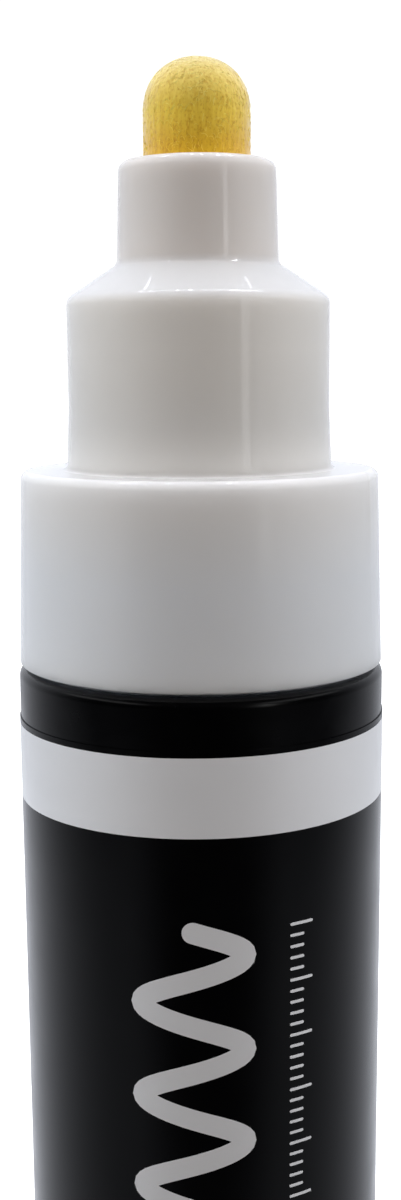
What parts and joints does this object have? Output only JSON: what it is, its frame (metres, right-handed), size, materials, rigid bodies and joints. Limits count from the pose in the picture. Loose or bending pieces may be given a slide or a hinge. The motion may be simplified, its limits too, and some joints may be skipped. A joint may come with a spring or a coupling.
{
  "type": "liquid chalk marker",
  "caption": "Uncapped liquid chalk marker: felt bullet nib in a stepped white nose, black barrel with a film label, and a sprung valve that opens when the nib is pressed.",
  "frame": {"origin": "centre of the tail plug's flat face, on the marker's axis", "axes": "+Z along the marker's axis from the tail to the nib, with the marker standing on its tail"},
  "size_m": [0.0205, 0.0206, 0.14],
  "materials": {
    "barrel_plastic": "satin moulded",
    "label_film": "printed film with a white band near its top",
    "nose_plastic": "glossy moulded",
    "nib_felt": "pressed polyester felt stained by ink",
    "valve_plastic": "natural moulded",
    "seal_rubber": "matt",
    "spring_steel": "drawn wire",
    "ball_steel": "polished"
  },
  "bodies": {
    "marker_body": {"barrel": "barrel_plastic", "tail_plug": "barrel_plastic", "label": "label_film", "nose": "nose_plastic", "valve_body": "valve_plastic", "valve_cage": "valve_plastic", "valve_spring": "spring_steel"},
    "valve_plunger": {"valve_stem": "valve_plastic", "valve_seal": "seal_rubber"},
    "writing_nib": {"nib": "nib_felt"},
    "loose_ball": {"mixing_ball": "ball_steel"}
  },
  "joints": [
    {"name": "valve_press", "type": "slide", "parent": "marker_body", "child": "valve_plunger", "axis": [0, 0, 1], "range_m": [-0.0022, 0], "stiffness_N_per_m": 1100, "springref_m": 0.002, "deforming": ["valve_spring"]},
    {"name": "nib_pull", "type": "slide", "parent": "valve_plunger", "child": "writing_nib", "axis": [0, 0, 1], "range_m": [0, 0.035]},
    {"name": "ball_rattle", "type": "slide", "parent": "marker_body", "child": "loose_ball", "axis": [0, 0, 1], "range_m": [0, 0.0695]}
  ]
}
